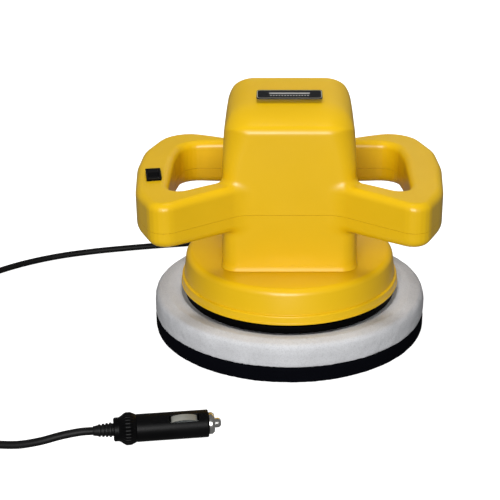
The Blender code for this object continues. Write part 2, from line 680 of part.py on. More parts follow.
def wiring(mats):
    """Leads inside the housing: relief to switch through the rear bar, switch to motor in front."""
    supply = [(-8, 58, 116), (-30, 62, 114), (-43, 68, 113.5), (-53, 73, 113.5), (-66, 77, 113.5),
              (-80, 81, 113.5), (-97, 85, 113.5),
              (-104, 77, 113.5), (-112, 58, 113.5), (-117, 30, 113.5), (-117.5, 5, 113.5),
              (-116.4, -13, 113.5), (-115.8, -16, 116.8)]
    motor = [(-114.3, -26, 116.8), (-114.9, -29, 113.5), (-116, -46, 113.5), (-110, -63, 113.5),
             (-97, -70, 113.5), (-80, -64, 113.5), (-63, -56, 113.5), (-51, -50, 113), (-42, -41, 111),
             (-35, -26, 106), (-31, -10, 98), (-29, 0, 88), (-28.5, 3, 80)]
    for name, points, mat in (("lead_supply", supply, mats["red"]), ("lead_motor", motor, mats["black"])):
        route = smooth_route([tuple(v * MM for v in point) for point in points], 7 * MM)
        tube(name, route, 1.1 * MM, mat, 1)


# ---- cord and plug ------------------------------------------------------------------------
def relief_matrix():
    """Local Z runs rearwards through the rear wall at the seam."""
    return Matrix.Translation((0, 0, SEAM_Z)) @ Matrix.Rotation(-math.pi / 2, 4, "X")


def strain_relief(mats):
    wall_in = TOWER_REAR_Y - WALL
    profile = [(0, wall_in - 4 * MM), (8 * MM, wall_in - 4 * MM), (8 * MM, wall_in - GAP),
               (5.4 * MM, wall_in - GAP), (5.4 * MM, TOWER_REAR_Y + GAP), (7.6 * MM, TOWER_REAR_Y + GAP),
               (7.6 * MM, TOWER_REAR_Y + 3 * MM), (6.2 * MM, TOWER_REAR_Y + 4 * MM), (4.2 * MM, RELIEF_END_Y),
               (0, RELIEF_END_Y)]
    return add_mesh("strain_relief", turned(profile, 20), mats["rubber"], relief_matrix())


def cord_parts(mats):
    """The cord from the relief to a tied coil on the floor, and from the coil to the plug."""
    rear = [(0, 109, 120), (0, 117, 119.4), (0, 127, 115.5), (-1, 137, 108), (-2.5, 145, 97),
            (-5, 151, 83), (-9, 156, 67), (-15, 160, 51), (-24, 163, 36), (-37, 165.5, 23),
            (-55, 167, 12.5), (-77, 166.5, 6), (-102, 164, 3.4), (-132, 159, 3.1), (-165, 152, 3.1),
            (-200, 143, 3.1), (-235, 130, 3.1), (-268, 110, 3.1), (-297, 83, 3.1), (-322, 50, 3.1),
            (-341, 16, 3.6), (-352.6, -17.2, 4.3)]
    front = [(-349.3, -96.2, 9.6), (-340, -120, 8), (-325, -146, 4.4), (-304, -171, 3.1),
             (-280, -191, 3.1), (-254, -206, 3.1), (-228, -215, 3.1), (-204, -218.8, 3.9),
             (-186, -219.2, 7), (-169, -217.2, 11), (-155, -215.1, 12.9), (-145.3, -213.63, 12.82)]
    for name, points in (("cord_rear_run", rear), ("cord_front_run", front)):
        route = smooth_route([tuple(v * MM for v in point) for point in points], 13 * MM)
        tube(name, route, CORD_RADIUS, mats["rubber"], 2)
    coil = ring(COIL_INNER, COIL_OUTER, COIL_BOTTOM_Z, COIL_TOP_Z, 32, COIL_CENTRE)
    add_mesh("cord_coil", coil, mats["rubber"])
    middle = (COIL_INNER + COIL_OUTER) / 2
    width = COIL_OUTER - COIL_INNER
    centre_z = (COIL_BOTTOM_Z + COIL_TOP_Z) / 2
    height = COIL_TOP_Z - COIL_BOTTOM_Z
    place = Matrix.Translation((COIL_CENTRE[0] + middle, COIL_CENTRE[1], centre_z))
    tie = add_mesh("cord_tie", box((width + 3.2 * MM, 6 * MM, height + 2.4 * MM)), mats["black"], place)
    inside = box((width + 1.4 * MM, 20 * MM, height + 0.8 * MM))
    cut(tie, add_mesh("tie_guide", inside, None, place, True))


def plug_matrix():
    """Local Z runs from the plug's rear end to its tip."""
    place = Matrix.Translation(PLUG_REAR) @ Matrix.Rotation(PLUG_TURN, 4, "Z")
    return place @ Matrix.Rotation(math.pi / 2 + PLUG_TILT, 4, "Y")


def plug_parts(mats):
    """A fused plug for a car's accessory socket, lying on the floor."""
    place = plug_matrix()

    def lathe(name, profile, mat, steps=24, closed=False):
        points = [(r * MM, s * MM) for r, s in profile]
        return add_mesh(name, turned(points, steps, closed), mats[mat], place)

    lathe("plug_strain_relief", [(0, 0), (3.8, 0), (5.2, 12), (5.2, 13.2), (0, 13.2)], "rubber")
    lathe("plug_grip", [(0, 13.5), (8.9, 13.5), (9, 17), (12, 22.5), (12.2, 26), (10.6, 30.5), (0, 30.5)], "rubber", 28)
    barrel = lathe("plug_barrel", [(0, 30.8), (10.4, 30.8), (10.4, 84.3), (8.2, 84.3), (8.2, 34), (0, 34)],
                   "black", 28)
    lathe("plug_ring_nut", [(4.2, 84.6), (8.2, 84.6), (8.2, 87), (6.8, 88.9), (4.2, 88.9)], "chrome", 24, True)
    along = place.to_3x3() @ Vector((0, 0, 1))
    guide = axis_empty("plug_tip_guide", place.translation + along * 80 * MM)
    hang(lathe("plug_tip", [(0, 77.9), (6.2, 77.9), (6.2, 80), (3.7, 80), (3.7, 91), (2.4, 93.4), (0, 94)],
               "chrome", 20), guide)
    hang(lathe("plug_fuse", [(0, 46), (3.2, 46), (3.2, 77.6), (0, 77.6)], "glass", 16), guide)
    helix("plug_tip_spring", 3 * MM, 0.4 * MM, 34.8 * MM, 45.2 * MM, 5, mats["steel"], place)
    for index, angle in enumerate((PLUG_LEAF_ANGLE, PLUG_LEAF_ANGLE + math.pi)):
        turn = place @ Matrix.Rotation(angle, 4, "Z")
        window = box((8 * MM, 6 * MM, 22 * MM), (10 * MM, 0, 66 * MM))
        cut(barrel, add_mesh("leaf_window_%d" % (index + 1), window, None, turn, True))
        outline = [(9.0, 56), (11.4, 61), (11.8, 66), (11.4, 71), (9.0, 76), (8.5, 75.6), (10.6, 70.6),
                   (10.9, 66), (10.6, 61.4), (8.5, 56.4)]
        bm = bmesh.new()
        verts = [bm.verts.new((r * MM, -2.6 * MM, s * MM)) for r, s in outline]
        face = bm.faces.new(verts)
        moved = bmesh.ops.extrude_face_region(bm, geom=[face])["geom"]
        bmesh.ops.translate(bm, verts=[v for v in moved if isinstance(v, bmesh.types.BMVert)],
                            vec=(0, 5.2 * MM, 0))
        leaf = add_mesh("plug_contact_%d" % (index + 1), bm, mats["chrome"], turn)
        out = turn.to_3x3() @ Vector((1, 0, 0))
        hang(leaf, axis_empty("plug_contact_guide_%d" % (index + 1), place.translation + out * 0.01))


def build():
    clear_scene()
    mats = materials()
    guides = housing(mats)
    base_cover(mats, guides["cover_holes"])
    name_plate(mats)
    drive_guide = axis_empty("drive_guide", (0, AXIS_Y, SEAM_Z))
    pad_guide = axis_empty("pad_guide", (0, 0, PLATE_BOTTOM_Z))
    drive_parts(mats, drive_guide)
    pad_parts(mats, pad_guide)
    hang(pad_guide, drive_guide)
    motor_parts(mats)
    switch_parts(mats)
    wiring(mats)
    strain_relief(mats)
    cord_parts(mats)
    plug_parts(mats)


build()
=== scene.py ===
import math
from itertools import product

import bmesh
import bpy
import numpy as np
from mathutils import Matrix, Vector


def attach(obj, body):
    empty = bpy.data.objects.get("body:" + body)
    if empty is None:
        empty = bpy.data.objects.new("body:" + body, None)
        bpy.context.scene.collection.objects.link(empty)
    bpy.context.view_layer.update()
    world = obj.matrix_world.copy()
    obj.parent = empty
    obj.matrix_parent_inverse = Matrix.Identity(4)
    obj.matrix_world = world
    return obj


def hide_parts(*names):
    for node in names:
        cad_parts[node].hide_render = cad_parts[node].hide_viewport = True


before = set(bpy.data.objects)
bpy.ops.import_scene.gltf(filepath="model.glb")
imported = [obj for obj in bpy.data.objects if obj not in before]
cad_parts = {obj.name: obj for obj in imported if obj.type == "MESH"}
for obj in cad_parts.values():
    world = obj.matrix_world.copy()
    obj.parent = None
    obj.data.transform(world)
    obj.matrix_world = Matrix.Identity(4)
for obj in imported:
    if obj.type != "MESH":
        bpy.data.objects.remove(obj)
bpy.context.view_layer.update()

# Sizes are in millimetres unless a name says otherwise; front is -Y, up is +Z.
MM = 0.001
AXIS_Y = 3.0                 # the motor's axis and the base cover's, against the pad's axis at 0
SEAM = 120.0                 # level where the housing's two halves meet
SEAM_HALF_GAP = 0.1
WALL = 2.8
FOOT = 68.9                  # level where the tower stands on the base cover
TOWER_SIDE = 57.5
TOWER_FRONT = -50.5
TOWER_REAR = 72.0
TOWER_TOP = 213.0
REAR_LEAN_LOW = (72.0, 152.0)    # (y, z) of the rear face's lean above the handles
REAR_LEAN_HIGH = (54.0, 213.0)
FACET_LOW = (-50.5, 196.2)       # (y, z) of the tower's front: a short steep slope and a long flat one
SLOPE_LOW = (-38.0, 206.0)
SLOPE_HIGH = (10.0, 213.0)
HANDLE_TOP = 146.0
HANDLE_BOTTOM = 105.5
SCREW_RECESS_RADIUS = 3.4
SCREW_RECESS_TOP = 110.4
SHELL_SPAN = ((-140, -110), (140, 116))   # plan that holds the whole housing
UPPER_LEVELS = (112, 217)                 # levels between which each half is worked out
LOWER_LEVELS = (62, 126)
OUTER_GRID = 1.3
INNER_GRID = 2.6
SWITCH_PLACE = (-115.0, -21.0)
SWITCH_TURN = math.radians(9)
WELL_HALF = (5.9, 11.2)
WELL_FLOOR = 123.5
WELL_WALL = 1.2
PLATE_Y = -6.5
PLATE_HALF = (27.5, 8.5)
PLATE_CORNER = 2.2
CORD_RADIUS = 3.0
COIL_CENTRE = (-312.0, -55.0)
COIL_OUTER = 49              # radius of the coil's widest turn, and how far it draws in
COIL_DRAW = 24
PLUG_REAR = (-144.5, -213.5, 12.8)
PLUG_TURN = math.radians(9)
PLUG_TILT = math.radians(1.0)
LEAF_TURN = math.radians(209)
LEAF_ENDS = (56.3, 75.7)         # the plug's parts, measured along it from its rear end
GRIP_ENDS = (13.5, 30.5)
GRIP_RIDGES = 24
BARREL_ENDS = (30.4, 84.3)
BARREL_RADIUS = 10.4
BARREL_BORE = 8.2
CAMERA_PLACE = (0, -0.9832, 0.4932)       # metres
CAMERA_DOWN = 23.449                      # degrees below level
CAMERA_LENS = 86.9
CAMERA_SHIFT = -0.0789


# ---- camera -------------------------------------------------------------------------------
def place_camera():
    """Looks down at the front from a little over a metre away; the shift frames the plug as well."""
    data = bpy.data.cameras.new("camera")
    data.sensor_width = 36.0
    data.lens = CAMERA_LENS
    data.shift_x = CAMERA_SHIFT
    camera = bpy.data.objects.new("camera", data)
    camera.location = CAMERA_PLACE
    camera.rotation_euler = (math.radians(90 - CAMERA_DOWN), 0, 0)
    bpy.context.scene.collection.objects.link(camera)
    bpy.context.scene.camera = camera
    bpy.context.scene.view_settings.view_transform = "Standard"


# ---- mesh helpers -------------------------------------------------------------------------
def make_mesh(name, points, faces, sharp=40.0):
    """A mesh object at the origin from points in millimetres, smooth except across sharp edges."""
    mesh = bpy.data.meshes.new(name)
    faces = faces.tolist() if isinstance(faces, np.ndarray) else faces
    mesh.from_pydata(np.asarray(points, dtype=float) * MM, [], faces)
    mesh.validate()
    mesh.shade_smooth()
    mesh.set_sharp_from_angle(angle=math.radians(sharp))
    obj = bpy.data.objects.new(name, mesh)
    bpy.context.scene.collection.objects.link(obj)
    return obj


def grid_faces(rows, columns, wrap_rows=False, wrap_columns=False):
    """Quads between neighbouring points of a grid, which may close on itself either way."""
    r = np.arange(rows if wrap_rows else rows - 1)
    c = np.arange(columns if wrap_columns else columns - 1)
    r, c = (a.ravel() for a in np.meshgrid(r, c, indexing="ij"))
    r1 = (r + 1) % rows
    c1 = (c + 1) % columns
    return np.stack([r * columns + c, r * columns + c1, r1 * columns + c1, r1 * columns + c], axis=1)


def arc_corner(outline, steps=6):
    """Fillets the corners (u, v, radius) of a closed outline: each corner becomes an arc that meets
    both its sides at a tangent, its centre on the corner's bisector."""
    corners = np.array([c[:2] for c in outline], dtype=float)
    radii = [c[2] if len(c) > 2 else 0.0 for c in outline]
    points = []
    for i, radius in enumerate(radii):
        here = corners[i]
        a = corners[i - 1] - here
        b = corners[(i + 1) % len(corners)] - here
        a = a / np.linalg.norm(a)
        b = b / np.linalg.norm(b)
        half = math.acos(max(-1.0, min(1.0, float(a @ b)))) / 2
        if radius <= 0 or half > math.radians(89.9):
            points.append(here)
            continue
        centre = here + (a + b) / np.linalg.norm(a + b) * radius / math.sin(half)
        reach = radius / math.tan(half)
        start = here + a * reach - centre
        end = here + b * reach - centre
        first = math.atan2(start[1], start[0])
        turn = (math.atan2(end[1], end[0]) - first + math.pi) % (2 * math.pi) - math.pi
        angles = first + turn * np.linspace(0, 1, steps + 1)
        points.extend(centre + radius * np.stack([np.cos(angles), np.sin(angles)], axis=1))
    return np.array(points)


def four_corners(half_u, half_v, radius):
    """The corners of a rectangle about the origin, each with its fillet radius."""
    return [(-half_u, -half_v, radius), (half_u, -half_v, radius), (half_u, half_v, radius),
            (-half_u, half_v, radius)]


def turned(name, outline, centre=(0.0, 0.0), segments=160, steps=6, sharp=40.0):
    """A closed outline of (radius, height) carried round a vertical axis. Where the outline has two
    corners on the axis, their rings shrink to points that are merged."""
    profile = arc_corner(outline, steps)
    angle = np.linspace(0, 2 * math.pi, segments, endpoint=False)[:, None]
    r = profile[:, 0][None, :]
    z = np.broadcast_to(profile[:, 1][None, :], (segments, len(profile)))
    points = np.stack([centre[0] + r * np.cos(angle), centre[1] + r * np.sin(angle), z], axis=2)
    obj = make_mesh(name, points.reshape(-1, 3), grid_faces(segments, len(profile), True, True), sharp)
    close_poles(obj, sharp)
    return obj


def close_poles(obj, sharp=40.0):
    """Merges rings that have shrunk to a point and turns every face outwards."""
    bm = bmesh.new()
    bm.from_mesh(obj.data)
    bmesh.ops.remove_doubles(bm, verts=bm.verts, dist=1e-7)
    bmesh.ops.dissolve_degenerate(bm, edges=bm.edges, dist=1e-8)
    bmesh.ops.recalc_face_normals(bm, faces=bm.faces)
    bm.to_mesh(obj.data)
    bm.free()
    obj.data.shade_smooth()
    obj.data.set_sharp_from_angle(angle=math.radians(sharp))


def moved(obj, matrix):
    """Puts a place (4x4, metres) into the mesh, so that the object stays at the origin."""
    obj.data.transform(matrix)
    obj.data.update()
    return obj


# ---- field helpers: the housing is a distance field, its surface where the field is zero ----
def smooth_step(low, high, value):
    """0 below low, 1 above high, a cubic between them."""
    t = np.clip((value - low) / (high - low), 0, 1)
    return t * t * (3 - 2 * t)


def blend_join(a, b, reach):
    """The nearer of two fields, with a hollow fillet where they are closer than reach."""
    near = np.maximum(reach - np.abs(a - b), 0) / np.maximum(reach, 1e-6)
    return np.minimum(a, b) - near * near * reach * 0.25


def round_meet(a, b, radius):
    """The common part of two fields, its edge rounded by a radius."""
    edge = np.hypot(np.maximum(a + radius, 0), np.maximum(b + radius, 0))
    return np.minimum(-radius, np.maximum(a, b)) + edge


def outline_distance(points, x, y):
    """Signed distance in plan to a closed outline: the least distance to its sides, negative inside
    by counting the sides that a line along +X crosses."""
    nearest = np.full(np.broadcast(x, y).shape, 1e9)
    inside = np.zeros(nearest.shape, dtype=bool)
    for (ax, ay), (bx, by) in zip(points, np.roll(points, -1, axis=0)):
        dx, dy = bx - ax, by - ay
        t = np.clip(((x - ax) * dx + (y - ay) * dy) / (dx * dx + dy * dy), 0, 1)
        nearest = np.minimum(nearest, (x - ax - t * dx) ** 2 + (y - ay - t * dy) ** 2)
        crosses = (ay > y) != (by > y)
        if dy != 0:
            inside ^= crosses & (x < ax + (y - ay) * dx / dy)
    distance = np.sqrt(nearest)
    return np.where(inside, -distance, distance)


def net_surface(field, low, high, step):
    """The surface where a field is zero: one point in each cell of a grid that the surface crosses, at
    the mean of its crossings on the cell's edges, joined by a quad round each crossed edge, and then
    moved down the field's slope onto the surface."""
    axes = [np.arange(a, b + step, step) for a, b in zip(low, high)]
    values = field(axes[0][:, None, None], axes[1][None, :, None], axes[2][None, None, :])
    inside = values < 0
    shape = np.array(values.shape) - 1
    held = sum(inside[i:i + shape[0], j:j + shape[1], k:k + shape[2]].astype(np.int8)
               for i, j, k in product((0, 1), repeat=3))
    active = (held > 0) & (held < 8)
    cells = np.argwhere(active)
    number = np.full(active.shape, -1, dtype=np.int64)
    number[active] = np.arange(len(cells))
    total = np.zeros((len(cells), 3))
    hits = np.zeros(len(cells))
    for axis in range(3):
        others = [a for a in range(3) if a != axis]
        for pair in product((0, 1), repeat=2):
            start = np.zeros(3, dtype=np.int64)
            start[others] = pair
            end = start.copy()
            end[axis] = 1
            a = values[tuple((cells + start).T)]
            b = values[tuple((cells + end).T)]
            crossed = (a < 0) != (b < 0)
            t = np.where(crossed, a / np.where(crossed, a - b, 1), 0)
            total += crossed[:, None] * (start + (end - start) * t[:, None])
            hits += crossed
    points = np.array([a[0] for a in axes]) + (cells + total / hits[:, None]) * step
    faces = []
    for axis in range(3):
        b, c = (axis + 1) % 3, (axis + 2) % 3
        first = np.moveaxis(inside, axis, 0)[:-1]
        last = np.moveaxis(inside, axis, 0)[1:]
        edges = np.argwhere(np.moveaxis(first != last, 0, axis))
        edges = edges[(edges[:, b] > 0) & (edges[:, c] > 0)]
        edges = edges[(edges[:, b] < shape[b]) & (edges[:, c] < shape[c])]
        quad = []
        for back_b, back_c in ((1, 1), (0, 1), (0, 0), (1, 0)):
            cell = edges.copy()
            cell[:, b] -= back_b
            cell[:, c] -= back_c
            quad.append(number[tuple(cell.T)])
        quad = np.stack(quad, axis=1)
        outward = inside[tuple(edges.T)]
        faces.append(np.where(outward[:, None], quad, quad[:, ::-1]))
    return onto_surface(field, points), np.concatenate(faces)


def onto_surface(field, points, rounds=3, reach=0.05):
    """Newton steps along the field's slope, which is measured by small differences."""
    for _ in range(rounds):
        value = field(*points.T)
        slope = np.empty_like(points)
        for axis in range(3):
            shift = np.zeros(3)
            shift[axis] = reach
            ahead = field(*(points + shift).T)
            slope[:, axis] = (ahead - field(*(points - shift).T)) / (2 * reach)
        size = np.maximum((slope * slope).sum(axis=1), 0.2)
        step = np.clip(value / size, -1.0, 1.0)
        points = points - step[:, None] * slope
    return points


# ---- housing ------------------------------------------------------------------------------
HANDLE_PLAN = arc_corner([(-60, 0), (5, -25.2), (107, -99, 15), (127, -55, 70), (132.5, 8, 100),
                          (131, 48, 60), (111.5, 108.5, 27), (5, 54.5), (-60, 40)])
OPENING_PLAN = arc_corner([(40, -25), (94, -59, 9), (101, -42, 25), (102, 30, 40), (97, 67, 18),
                           (40, 65)])
SCREW_PLACES = [(side * x, y) for side in (-1, 1) for x, y in ((104, -79), (109, 84))]


def plane(y, z, first, second):
    """Height over the plane along X through two points (y, z), the first one nearer the front."""
    angle = math.atan2(second[1] - first[1], second[0] - first[0])
    return (z - first[1]) * math.cos(angle) - (y - first[0]) * math.sin(angle)


def tower_field(x, y, z):
    """Side walls that draw in a little, a front, a rear that leans in above the handles, a flat top and
    two slopes down to the front, their edges rounded, the top's side edges most; the foot flares."""
    flare = 1 - smooth_step(FOOT - 1, 73, z)
    crown = round_meet(plane(y, z, SLOPE_LOW, SLOPE_HIGH), z - TOWER_TOP, 16.0)
    crown = round_meet(crown, plane(y, z, FACET_LOW, SLOPE_LOW), 16.0)
    body = round_meet(TOWER_FRONT - y - flare, crown, 5.0)
    body = round_meet(body, -plane(y, z, REAR_LEAN_LOW, REAR_LEAN_HIGH), 9.0)
    body = round_meet(body, y - TOWER_REAR - flare, 16.0)
    side = np.abs(x) - TOWER_SIDE - flare + 0.018 * (z - FOOT) + 1.5 * smooth_step(150, 205, z)
    return round_meet(side, body, 14 + 9 * smooth_step(150, 198, z))


def handle_field(x, y, z):
    """Both loops: the plan less the finger openings, between an upper and a lower face that close in
    a little towards the outer bar."""
    across = np.abs(x)
    outward = smooth_step(60, 125, across)
    opening = outline_distance(OPENING_PLAN, across, y)
    plan = np.maximum(outline_distance(HANDLE_PLAN, across, y), -opening)
    body = round_meet(plan, z - (HANDLE_TOP - 2 * outward), 6.5)
    return round_meet(body, HANDLE_BOTTOM + 1.2 * outward - z, 7.0)


def housing_field(x, y, z):
    """Tower and handles joined, with a deeper fillet up the tower's corners than along the bars."""
    return blend_join(tower_field(x, y, z), handle_field(x, y, z), 6.0)


def switch_well(x, y, z):
    """Distance to the upright pocket that holds the switch, turned with it and open at the top."""
    cos, sin = math.cos(SWITCH_TURN), math.sin(SWITCH_TURN)
    u = (x - SWITCH_PLACE[0]) * cos + (y - SWITCH_PLACE[1]) * sin
    v = (y - SWITCH_PLACE[1]) * cos - (x - SWITCH_PLACE[0]) * sin
    return np.maximum(np.maximum(np.abs(u) - WELL_HALF[0], np.abs(v) - WELL_HALF[1]), WELL_FLOOR - z)


def outer_field(x, y, z):
    """The housing's outside with the screw recesses below and the well for the switch."""
    field = housing_field(x, y, z)
    for px, py in SCREW_PLACES:
        recess = np.maximum(np.hypot(x - px, y - py) - SCREW_RECESS_RADIUS, z - SCREW_RECESS_TOP)
        field = np.maximum(field, -recess)
    return np.maximum(field, -switch_well(x, y, z))


def inner_field(x, y, z):
    """The hollow: the outside moved in by one wall, kept clear of the switch's well."""
    return np.maximum(housing_field(x, y, z) + WALL, WELL_WALL - switch_well(x, y, z))


def cut_level(bm, level, keep_above):
    """Cuts a hollow shell at a level, drops one side and closes the rim between its two walls."""
    result = bmesh.ops.bisect_plane(bm, geom=bm.verts[:] + bm.edges[:] + bm.faces[:], dist=1e-7,
                                    plane_co=(0, 0, level * MM), plane_no=(0, 0, 1),
                                    clear_inner=keep_above, clear_outer=not keep_above)
    edges = [e for e in result["geom_cut"] if isinstance(e, bmesh.types.BMEdge)]
    bmesh.ops.triangle_fill(bm, edges=edges, use_beauty=False, use_dissolve=False,
                            normal=(0, 0, -1 if keep_above else 1))


def housing_shell(name, levels, cuts):
    """An outer and an inner surface joined by flat rims at the levels where the shell is cut."""
    start, end = (*SHELL_SPAN[0], levels[0]), (*SHELL_SPAN[1], levels[1])
    outer, outer_faces = net_surface(outer_field, start, end, OUTER_GRID)
    inner, inner_faces = net_surface(inner_field, start, end, INNER_GRID)
    points = np.concatenate([outer, inner])
    faces = np.concatenate([outer_faces, inner_faces[:, ::-1] + len(outer)])
    obj = make_mesh(name, points, faces)
    bm = bmesh.new()
    bm.from_mesh(obj.data)
    for level, keep_above in cuts:
        cut_level(bm, level, keep_above)
    bmesh.ops.remove_doubles(bm, verts=bm.verts, dist=2e-6)
    bmesh.ops.dissolve_degenerate(bm, edges=bm.edges, dist=1e-7)
    bm.to_mesh(obj.data)
    bm.free()
    obj.data.shade_smooth()
    obj.data.set_sharp_from_angle(angle=math.radians(38))
    return obj


def rounded_box(x, y, z, half, radius):
    """Distance to a box about the origin with rounded edges."""
    qx = np.abs(x) - half[0] + radius
    qy = np.abs(y) - half[1] + radius
    qz = np.abs(z) - half[2] + radius
    out = np.sqrt(np.maximum(qx, 0) ** 2 + np.maximum(qy, 0) ** 2 + np.maximum(qz, 0) ** 2)
    return out + np.minimum(np.maximum(np.maximum(qx, qy), qz), 0) - radius


def carved(name, field, low, high, step, matrix=None, sharp=50.0):
    """A piece from its distance field, in local millimetres, put in its place by a matrix."""
    points, faces = net_surface(field, low, high, step)
    obj = make_mesh(name, points, faces, sharp)
    return moved(obj, matrix) if matrix else obj


# ---- base, plate and pad ------------------------------------------------------------------
def base_cover():
    """A turned drum with a rounded top edge, a slightly tapered wall and a stepped flange."""
    profile = [(20, 68.6), (91.2, 68.6, 6.0), (93.8, 47.6, 0.5), (93.5, 47.0, 0.4), (95.7, 46.5, 1.0),
               (96.0, 40.9, 0.4), (96.6, 40.5, 0.4), (96.6, 39.1, 0.4),
               (93.2, 39.1), (93.2, 43.5), (90.7, 45), (88.4, 62), (84, 65.8), (20, 65.8)]
    return turned("base_cover_skin", profile, (0, AXIS_Y), 256, 8)


def backing_plate():
    """A turned plate with a raised rim and the hub that holds the bearing."""
    profile = [(12, 31.2), (93, 31.2, 0.9), (93, 37.5, 0.8), (88, 37.5, 0.5), (88, 34.2), (17, 34.2),
               (17, 42.5), (13.3, 42.5), (13.3, 35.9), (12, 35.9)]
    return turned("backing_plate_skin", profile, (0, 0), 200, 4)


def foam_layer(name, profile, rough):
    """A turned layer of foam whose skin wanders by a fraction of a millimetre: the sum of waves along
    directions in space, which have no seam round the axis."""
    obj = turned(name, profile, (0, 0), 720, 7, sharp=60.0)
    mesh = obj.data
    points = np.empty(len(mesh.vertices) * 3)
    normals = np.empty(len(mesh.vertices) * 3)
    mesh.vertices.foreach_get("co", points)
    mesh.vertex_normals.foreach_get("vector", normals)
    points = points.reshape(-1, 3) / MM
    normals = normals.reshape(-1, 3)
    rng = np.random.default_rng(7)
    wander = np.zeros(len(points))
    for size in (0.05, 0.11, 0.3, 0.5, 0.8):
        for _ in range(4):
            direction = rng.normal(size=3)
            direction /= np.linalg.norm(direction)
            phase = rng.uniform(0, 6.28)
            wander += np.sin(points @ direction * size * 2 + phase) * 0.05 / (1 + size)
    radius = np.hypot(points[:, 0], points[:, 1])
    fade = smooth_step(95, 112, radius)
    points += normals * (wander * fade * rough)[:, None]
    mesh.vertices.foreach_set("co", (points * MM).ravel())
    mesh.update()
    return obj


def wall_rows(low, high, radius, count):
    """Extra profile points up a wall, so that its skin can wander."""
    return [(radius, low + (high - low) * i / (count + 1)) for i in range(1, count + 1)]


def white_foam():
    """The upper layer: a straight wall, a wide round shoulder and a crown that dips to its middle."""
    profile = [(0, 13.8), (119.6, 13.8, 1.6), *wall_rows(16, 27, 120.1, 12), (118.6, 33.4, 5.0),
               (108, 34.6, 9.0), (96.0, 31.6, 1.2), (94.0, 29.8), (0, 29.8)]
    return foam_layer("white_foam_body", profile, 1.0)


def black_foam():
    """The lower layer: a flat disc with a straight wall and slightly rounded edges."""
    profile = [(0, 0.0), (119.8, 0.0, 1.2), *wall_rows(1.6, 11.6, 120.1, 9), (119.2, 13.5, 1.2),
               (0, 13.5)]
    return foam_layer("black_foam_body", profile, 0.8)


# ---- switch and label ---------------------------------------------------------------------
def place_matrix(x, y, z, turn_z=0.0, tilt_x=0.0):
    """A place in millimetres, with a tilt about X and then a turn about Z."""
    place = Matrix.Translation((x * MM, y * MM, z * MM))
    return place @ Matrix.Rotation(turn_z, 4, "Z") @ Matrix.Rotation(tilt_x, 4, "X")


def switch_field(x, y, z):
    """Bezel over a body, less the pocket for the rocker, with two blades below."""
    bezel = rounded_box(x, y, z - 145.95, (6.35, 12.3, 0.95), 0.45)
    body = rounded_box(x, y, z - 135.5, (5.7, 11.0, 10.6), 0.3)
    blades = rounded_box(x, np.abs(y) - 5, z - 121.6, (0.4, 2.4, 4.4), 0.15)
    solid = np.minimum(np.minimum(bezel, body), blades)
    pocket = rounded_box(x, y, z - 149.4, (4.65, 9.8, 10), 0.3)
    return np.maximum(solid, -pocket)


def rocker_field(x, y, z):
    """A rocker whose top dips in the middle: two planes over a flat base, all edges rounded."""
    side = np.abs(x) - 4.4
    ends = np.abs(y) - 8.8
    near = (z - 147.3) * math.cos(0.03) - y * math.sin(0.03)
    far = (z - 147.25) * math.cos(0.24) - y * math.sin(0.24)
    plan = round_meet(side, ends, 0.8)
    return np.maximum(round_meet(plan, np.maximum(near, far), 0.7), 141.5 - z)


def name_plate():
    """A thin plate with round corners lying on the tower's sloped front: its outline at rising levels,
    drawn in a little at the top edge and to points in the middle of both faces."""
    slope = math.atan2(SLOPE_HIGH[1] - SLOPE_LOW[1], SLOPE_HIGH[0] - SLOPE_LOW[0])
    level = SLOPE_LOW[1] + (PLATE_Y - SLOPE_LOW[0]) * math.tan(slope)
    place = place_matrix(0, PLATE_Y, level, tilt_x=slope)
    plan = arc_corner(four_corners(*PLATE_HALF, PLATE_CORNER), 8)
    rows = [(0, 0.2), (1.0, 0.2), (1.0, 0.75), (0.995, 0.92), (0.98, 1.0), (0, 1.0)]
    points = np.array([[(u * k, v * k, z) for u, v in plan] for k, z in rows])
    faces = grid_faces(len(rows), len(plan), False, True)
    obj = make_mesh("name_plate_skin", points.reshape(-1, 3), faces)
    close_poles(obj)
    corner = np.empty(len(obj.data.loops), dtype=np.int64)
    obj.data.loops.foreach_get("vertex_index", corner)
    points = np.empty(len(obj.data.vertices) * 3)
    obj.data.vertices.foreach_get("co", points)
    uv = points.reshape(-1, 3)[corner][:, :2] / MM
    obj.data.uv_layers.new(name="plate").data.foreach_set("uv", uv.ravel())
    return moved(obj, place)


# ---- cord and plug ------------------------------------------------------------------------
REAR_ROUTE = [(0, 109, 120), (0, 117, 119.4), (0, 127, 115.5), (-1, 137, 108), (-2.5, 145, 97),
              (-5, 151, 83), (-9, 156, 67), (-15, 160, 51), (-24, 163, 36), (-37, 165.5, 23),
              (-55, 167, 12.5), (-77, 166.5, 6), (-102, 164, 3.4), (-132, 159, 3.1), (-165, 152, 3.1),
              (-200, 143, 3.1), (-235, 130, 3.1), (-268, 110, 3.1), (-297, 83, 3.1), (-322, 50, 3.1),
              (-341, 16, 3.6), (-352.6, -17.2, 4.3)]
FRONT_ROUTE = [(-349.3, -96.2, 9.6), (-340, -120, 8), (-325, -146, 4.4), (-304, -171, 3.1),
               (-280, -191, 3.1), (-254, -206, 3.1), (-228, -215, 3.1), (-204, -218.8, 3.9),
               (-186, -219.2, 7), (-169, -217.2, 11), (-155, -215.1, 12.9), (-145.3, -213.63, 12.82)]


